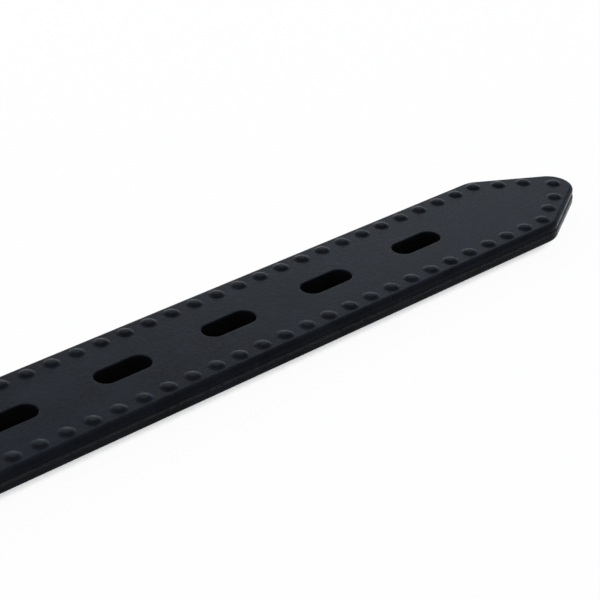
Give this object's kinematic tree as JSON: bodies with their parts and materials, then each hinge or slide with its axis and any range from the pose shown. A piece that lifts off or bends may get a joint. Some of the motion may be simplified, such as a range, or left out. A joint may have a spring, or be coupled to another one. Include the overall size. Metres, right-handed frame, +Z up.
{
  "type": "rubber buckle strap",
  "caption": "Flat two-ply rubber strap with a slot row, moulded bead borders and a pointed tip, folded and screwed round a hinged roller buckle, with a fixed and a sliding keeper.",
  "frame": {"origin": "on the surface the strap lies on, under the middle of its whole length and width", "axes": "+X from the buckle to the strap's tip, +Y across the strap, +Z up out of the beaded face"},
  "size_m": [0.3241, 0.0364, 0.014],
  "materials": {
    "rubber_face": "matt moulded, fine mottling, blue-black",
    "rubber_backing": "matt moulded",
    "rubber_keeper": "matt moulded",
    "woven_tape": "plain woven polyester tape",
    "buckle_steel": "satin, tumbled",
    "bar_steel": "satin, riveted ends",
    "roller_steel": "satin, lightly rubbed round",
    "tongue_steel": "satin",
    "screw_steel": "turned and satin"
  },
  "bodies": {
    "strap": {"strap_face": "rubber_face", "strap_backing": "rubber_backing", "reinforcement_tape_left": "woven_tape", "reinforcement_tape_right": "woven_tape", "fixed_keeper": "rubber_keeper", "screw_post_1": "screw_steel", "screw_cap_1": "screw_steel", "screw_post_2": "screw_steel", "screw_cap_2": "screw_steel", "screw_post_3": "screw_steel", "screw_cap_3": "screw_steel", "screw_post_4": "screw_steel", "screw_cap_4": "screw_steel"},
    "buckle": {"buckle_frame": "buckle_steel", "buckle_bar": "bar_steel"},
    "tongue": {"buckle_tongue": "tongue_steel"},
    "roller": {"buckle_roller": "roller_steel"},
    "keeper": {"sliding_keeper": "rubber_keeper"}
  },
  "joints": [
    {"name": "buckle_swing", "type": "hinge", "parent": "strap", "child": "buckle", "pos_m": [-0.1366, 0, 0.0044], "axis": [0, 1, 0], "range_deg": [-45, 50]},
    {"name": "tongue_swing", "type": "hinge", "parent": "buckle", "child": "tongue", "pos_m": [-0.1366, 0, 0.0044], "axis": [0, 1, 0], "range_deg": [0, 90]},
    {"name": "roller_spin", "type": "hinge", "parent": "buckle", "child": "roller", "pos_m": [-0.1586, 0, 0.0044], "axis": [0, 1, 0], "continuous": true},
    {"name": "keeper_slide", "type": "slide", "parent": "strap", "child": "keeper", "axis": [1, 0, 0], "range_m": [-0.04, 0.16]}
  ]
}
